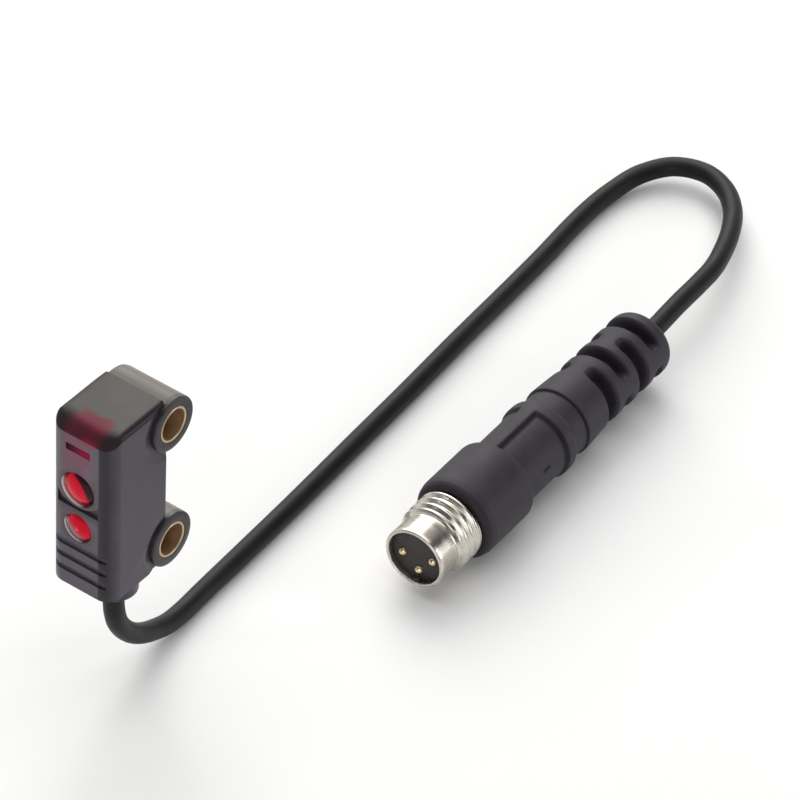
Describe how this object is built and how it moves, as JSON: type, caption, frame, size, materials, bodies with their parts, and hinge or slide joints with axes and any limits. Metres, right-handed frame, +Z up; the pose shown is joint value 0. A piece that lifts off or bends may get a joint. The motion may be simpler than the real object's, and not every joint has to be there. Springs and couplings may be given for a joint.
{
  "type": "diffuse photoelectric sensor",
  "caption": "Miniature flat photoelectric sensor with front lenses, metal-sleeved cross-drilled mounting ears and a short cable ending in a threaded round plug.",
  "frame": {"origin": "middle of the two mounting bores, on the mid plane of the body", "axes": "+Z up along the body, away from the cable; +X across the body along both mounting bores; -Y out of the lenses, +Y towards the mounting ears"},
  "size_m": [0.0269, 0.1097, 0.0382],
  "materials": {
    "housing_plastic": "smoked purple-grey translucent plastic, satin gloss",
    "smoked_cover": "warm smoked translucent plastic, glossy",
    "front_plastic": "smoked front plate with a faint red tint, satin",
    "red_lens": "clear red optical plastic, polished",
    "dark_red_window": "deep red translucent, glossy",
    "sleeve_metal": "pale nickel-washed brass, turned",
    "black_plastic": "matte black",
    "red_guide": "translucent red",
    "board_green": "green solder mask",
    "clear_resin": "clear resin lamp",
    "amber_resin": "amber resin lamp",
    "green_resin": "green resin lamp",
    "trimmer_body": "off-white",
    "grommet_rubber": "soft black bush",
    "cable_jacket": "satin black polyurethane sheath",
    "wire_brown": "brown lead",
    "wire_blue": "blue lead",
    "wire_black": "black lead",
    "nickel_shell": "nickel plated, fine turning marks",
    "insert_plastic": "matte black-brown",
    "gold_contact": "pale gold plated",
    "overmould": "matte blue-grey moulded polyurethane"
  },
  "bodies": {
    "root": {"housing": "housing_plastic", "top_cover": "smoked_cover", "front_plate_upper": "front_plastic", "front_plate_lower": "front_plastic", "receiver_lens": "red_lens", "emitter_lens": "red_lens", "indicator_window": "dark_red_window", "upper_sleeve": "sleeve_metal", "lower_sleeve": "sleeve_metal", "optics_block": "black_plastic", "light_guide": "red_guide", "circuit_board": "board_green", "receiver_chip": "black_plastic", "emitter_led": "clear_resin", "signal_led": "amber_resin", "power_led": "green_resin", "logic_chip": "black_plastic", "teach_trimmer": "trimmer_body", "cable_grommet": "grommet_rubber", "cable_tail": "cable_jacket", "wire_brown": "wire_brown", "wire_blue": "wire_blue", "wire_black": "wire_black", "cable": "cable_jacket", "plug_shell": "nickel_shell", "plug_insert": "insert_plastic", "contact_pin_1": "gold_contact", "contact_pin_3": "gold_contact", "contact_pin_4": "gold_contact", "plug_overmould": "overmould"}
  },
  "joints": []
}
